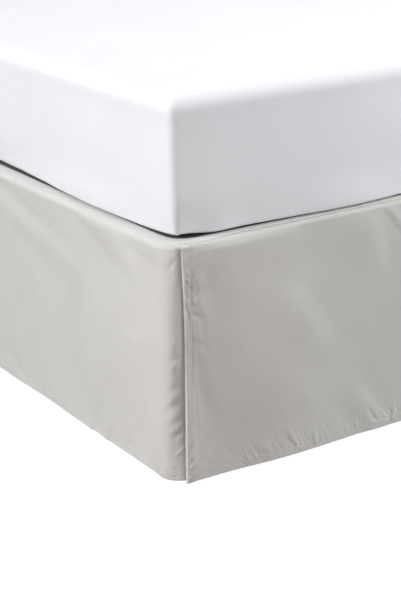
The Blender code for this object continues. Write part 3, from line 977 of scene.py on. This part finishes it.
# Where the drops' meshes have their lines, worked out in millimetres: each span's end and its step
FOOT_COLUMNS = marks(
    (0.4, 0.2), (3.6, 0.4), (16, 0.9), (30, 1.2), (420, 1.3), (500, 2.5), (1352, 4.5), (1442, 3), (1458, 2),
    (1468.4, 1.2), (1471.6, 0.5), (FOOT_LENGTH * 1000, 0.2),
) / 1000
SIDE_COLUMNS = marks(
    (1.6, 0.5), (24, 3), (90, 1.2), (340, 1.6), (620, 2.6), (2050, 7.5), (2062.5, 1.8), (2064.8, 0.8),
    (SIDE_LENGTH * 1000, 0.4),
) / 1000
ROWS = marks(
    (0.5, 0.25), (2.2, 0.9), (5.6, 0.55), (17, 1.4), (60, 3), (300, 4.3), (330, 2.6), (344, 1.4), (349, 0.6),
    (CLOTH_LENGTH * 1000 - 1.4, 1.6), (CLOTH_LENGTH * 1000, 0.4),
) / 1000

skirt_look = ((0.6, 0.59, 0.575), (0.645, 0.636, 0.62), 0.00042, 0.00012)
skirt_cloth = cloth_material("skirt_cloth", *skirt_look)
deck_cloth = cloth_material("deck_cloth", *skirt_look, measured=False)
# Painted shade: the deck's cloth is made dark under the mattress's edge, where the shade falls
paint_shade_inside(deck_cloth, HALF_WIDTH - SIDE_RIM, FOOT_Y + FOOT_RIM, HEAD_Y - HEAD_RIM, PAINTED_SHADE_SHARE)
thread = thread_material("thread", (0.64, 0.63, 0.612), 0.6)
cover_cloth = cloth_material(
    "mattress_cover", (0.843, 0.848, 0.895), (0.878, 0.882, 0.929), 0.0004, 0.0001, 0.85, 0.05, 5.0, False
)
box_cloth = cloth_material(
    "box_cover", (0.6, 0.6, 0.6), (0.68, 0.68, 0.68), 0.0016, 0.0004, 0.88, 0.05, 12.0, False
)
leg_wood = wood_material("leg_wood")

foot_piece = closed_cloth("foot_panel", FOOT_COLUMNS, ROWS, foot_face, skirt_cloth)
left_piece = closed_cloth("left_panel", SIDE_COLUMNS, ROWS, left_face, skirt_cloth)
right_piece = closed_cloth("right_panel", SIDE_COLUMNS, ROWS, right_face, skirt_cloth)
deck = deck_piece(deck_cloth)
mattress = mattress_piece(cover_cloth)
box_spring = box_piece(box_cloth)

foot_hems = (strip_width, lambda height: FOOT_LENGTH - strip_width(height))
side_hems = (lambda height: np.full_like(height, SIDE_LENGTH - HEM_DEPTH),)
foot_threads = stitched("foot_threads", foot_face, FOOT_LENGTH, foot_hems, thread)
left_threads = stitched("left_threads", left_face, SIDE_LENGTH, side_hems, thread)
right_threads = stitched("right_threads", right_face, SIDE_LENGTH, side_hems, thread)
slit_tacks = bar_tack("slit_tacks", thread)

for piece, node, slot in (
    (foot_piece, "foot_drop", "skirt_cloth"),
    (left_piece, "left_drop", "skirt_cloth"),
    (right_piece, "right_drop", "skirt_cloth"),
    (deck, "deck", "deck_cloth"),
    (mattress, "mattress", "mattress_cover"),
    (box_spring, "box_spring", "box_cover"),
):
    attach(piece, "root")
    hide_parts(node)
for piece in (foot_threads, left_threads, right_threads, slit_tacks):
    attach(piece, "root")

for number in range(1, 7):
    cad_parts[f"leg_{number}"].material_slots[0].material = leg_wood


def studio_stage():
    """A plain pale floor under a plain white dome, which only the camera sees."""
    floor = bmesh.new()
    bmesh.ops.create_circle(floor, cap_ends=True, radius=STAGE_RADIUS, segments=96)
    dome = bmesh.new()
    bmesh.ops.create_uvsphere(dome, u_segments=64, v_segments=32, radius=STAGE_RADIUS)
    low = [corner for corner in dome.verts if corner.co.z < -0.01]
    bmesh.ops.delete(dome, geom=low, context="VERTS")
    for name, form in (("floor", floor), ("backdrop", dome)):
        mesh = bpy.data.meshes.new(name)
        form.to_mesh(mesh)
        form.free()
        made, tree, shader = node_material(name, (0.3, 0.3, 0.3), 0.9, 0.0)
        feed(tree, shader, Emission_Color=(1, 1, 1, 1), Emission_Strength=1.0)
        if name == "floor":
            spread = add_node(tree, "VectorMath", object_place(tree), operation="LENGTH").outputs["Value"]
            glow = level_node(tree, spread, *FLOOR_FADE, FLOOR_GLOW, 1, interpolation_type="SMOOTHSTEP")
            feed(tree, shader, Emission_Strength=glow)
        mesh.materials.append(made)
        piece = new_object(name, mesh)
        piece.visible_diffuse = piece.visible_glossy = piece.visible_shadow = False


def area_light(name, place, size, power, color=(1, 1, 1), aim=(-HALF_WIDTH, FOOT_Y, 0.3), spread=180):
    """A square soft light, aimed at the skirt's near corner or at aim. spread is its cone in degrees."""
    light = bpy.data.lights.new(name, "AREA")
    light.shape = "SQUARE"
    light.size = size
    light.energy = power
    light.color = color
    light.spread = math.radians(spread)
    made = new_object(name, light)
    made.location = place
    made.rotation_euler = (Vector(aim) - Vector(place)).to_track_quat("-Z", "Y").to_euler()
    made.visible_camera = False


def studio_light():
    """Soft light: a dim sky, a brighter glow from below, and large squares on both sides."""
    world = bpy.data.worlds.new("studio")
    world.use_nodes = True
    tree = world.node_tree
    split = add_node(tree, "SeparateXYZ", add_node(tree, "TexCoord").outputs["Generated"])
    glow = level_node(tree, split.outputs["Z"], -0.05, 0.05, GLOW_BELOW, GLOW_ABOVE)
    feed(tree, tree.nodes["Background"], Color=(1, 1, 1, 1), Strength=glow)
    scene.world = world
    area_light("key", (-9.0, 0.3, 5.0), 2.4, 700)
    area_light("fill", (1.4, -2.0, 1.0), 1.0, 36)
    area_light("front_fill", (-0.6, -4.2, 2.2), 1.6, 7)
    area_light("corner_fill", (-1.45, -1.75, 0.14), 0.5, 0.15, spread=70, aim=(-HALF_WIDTH, FOOT_Y, 0.16))
    area_light("top", (-0.95, -1.25, 4.4), 1.4, 54)
    area_light("floor_glow", (-1.2, -1.5, 0.02), 0.8, 0.6, (1, 0.74, 0.45))
    area_light("back_fill", (3.8, 3.0, 2.2), 2.6, 90, aim=(0, 0, 0.3))


def photo_camera():
    """The camera at the photograph's angle, placed from the near corner of the skirt."""
    turn, tilt, roll = turns(*CAMERA_ANGLES)
    right = Vector((math.cos(turn), math.sin(turn), 0))
    back = Vector((math.sin(turn) * math.cos(tilt), -math.cos(turn) * math.cos(tilt), math.sin(tilt)))
    up = back.cross(right)
    across = right * math.cos(roll) + up * math.sin(roll)
    upright = up * math.cos(roll) - right * math.sin(roll)
    data = bpy.data.cameras.new("camera")
    data.sensor_width = 36
    data.lens = CAMERA_LENS
    data.clip_end = 100
    camera = new_object("camera", data)
    matrix = Matrix((across, upright, back)).transposed().to_4x4()
    matrix.translation = Vector((-HALF_WIDTH, FOOT_Y, 0)) + Vector(CAMERA_FROM_CORNER)
    camera.matrix_world = matrix
    scene.camera = camera


studio_stage()
studio_light()
photo_camera()
scene.view_settings.view_transform = "Standard"
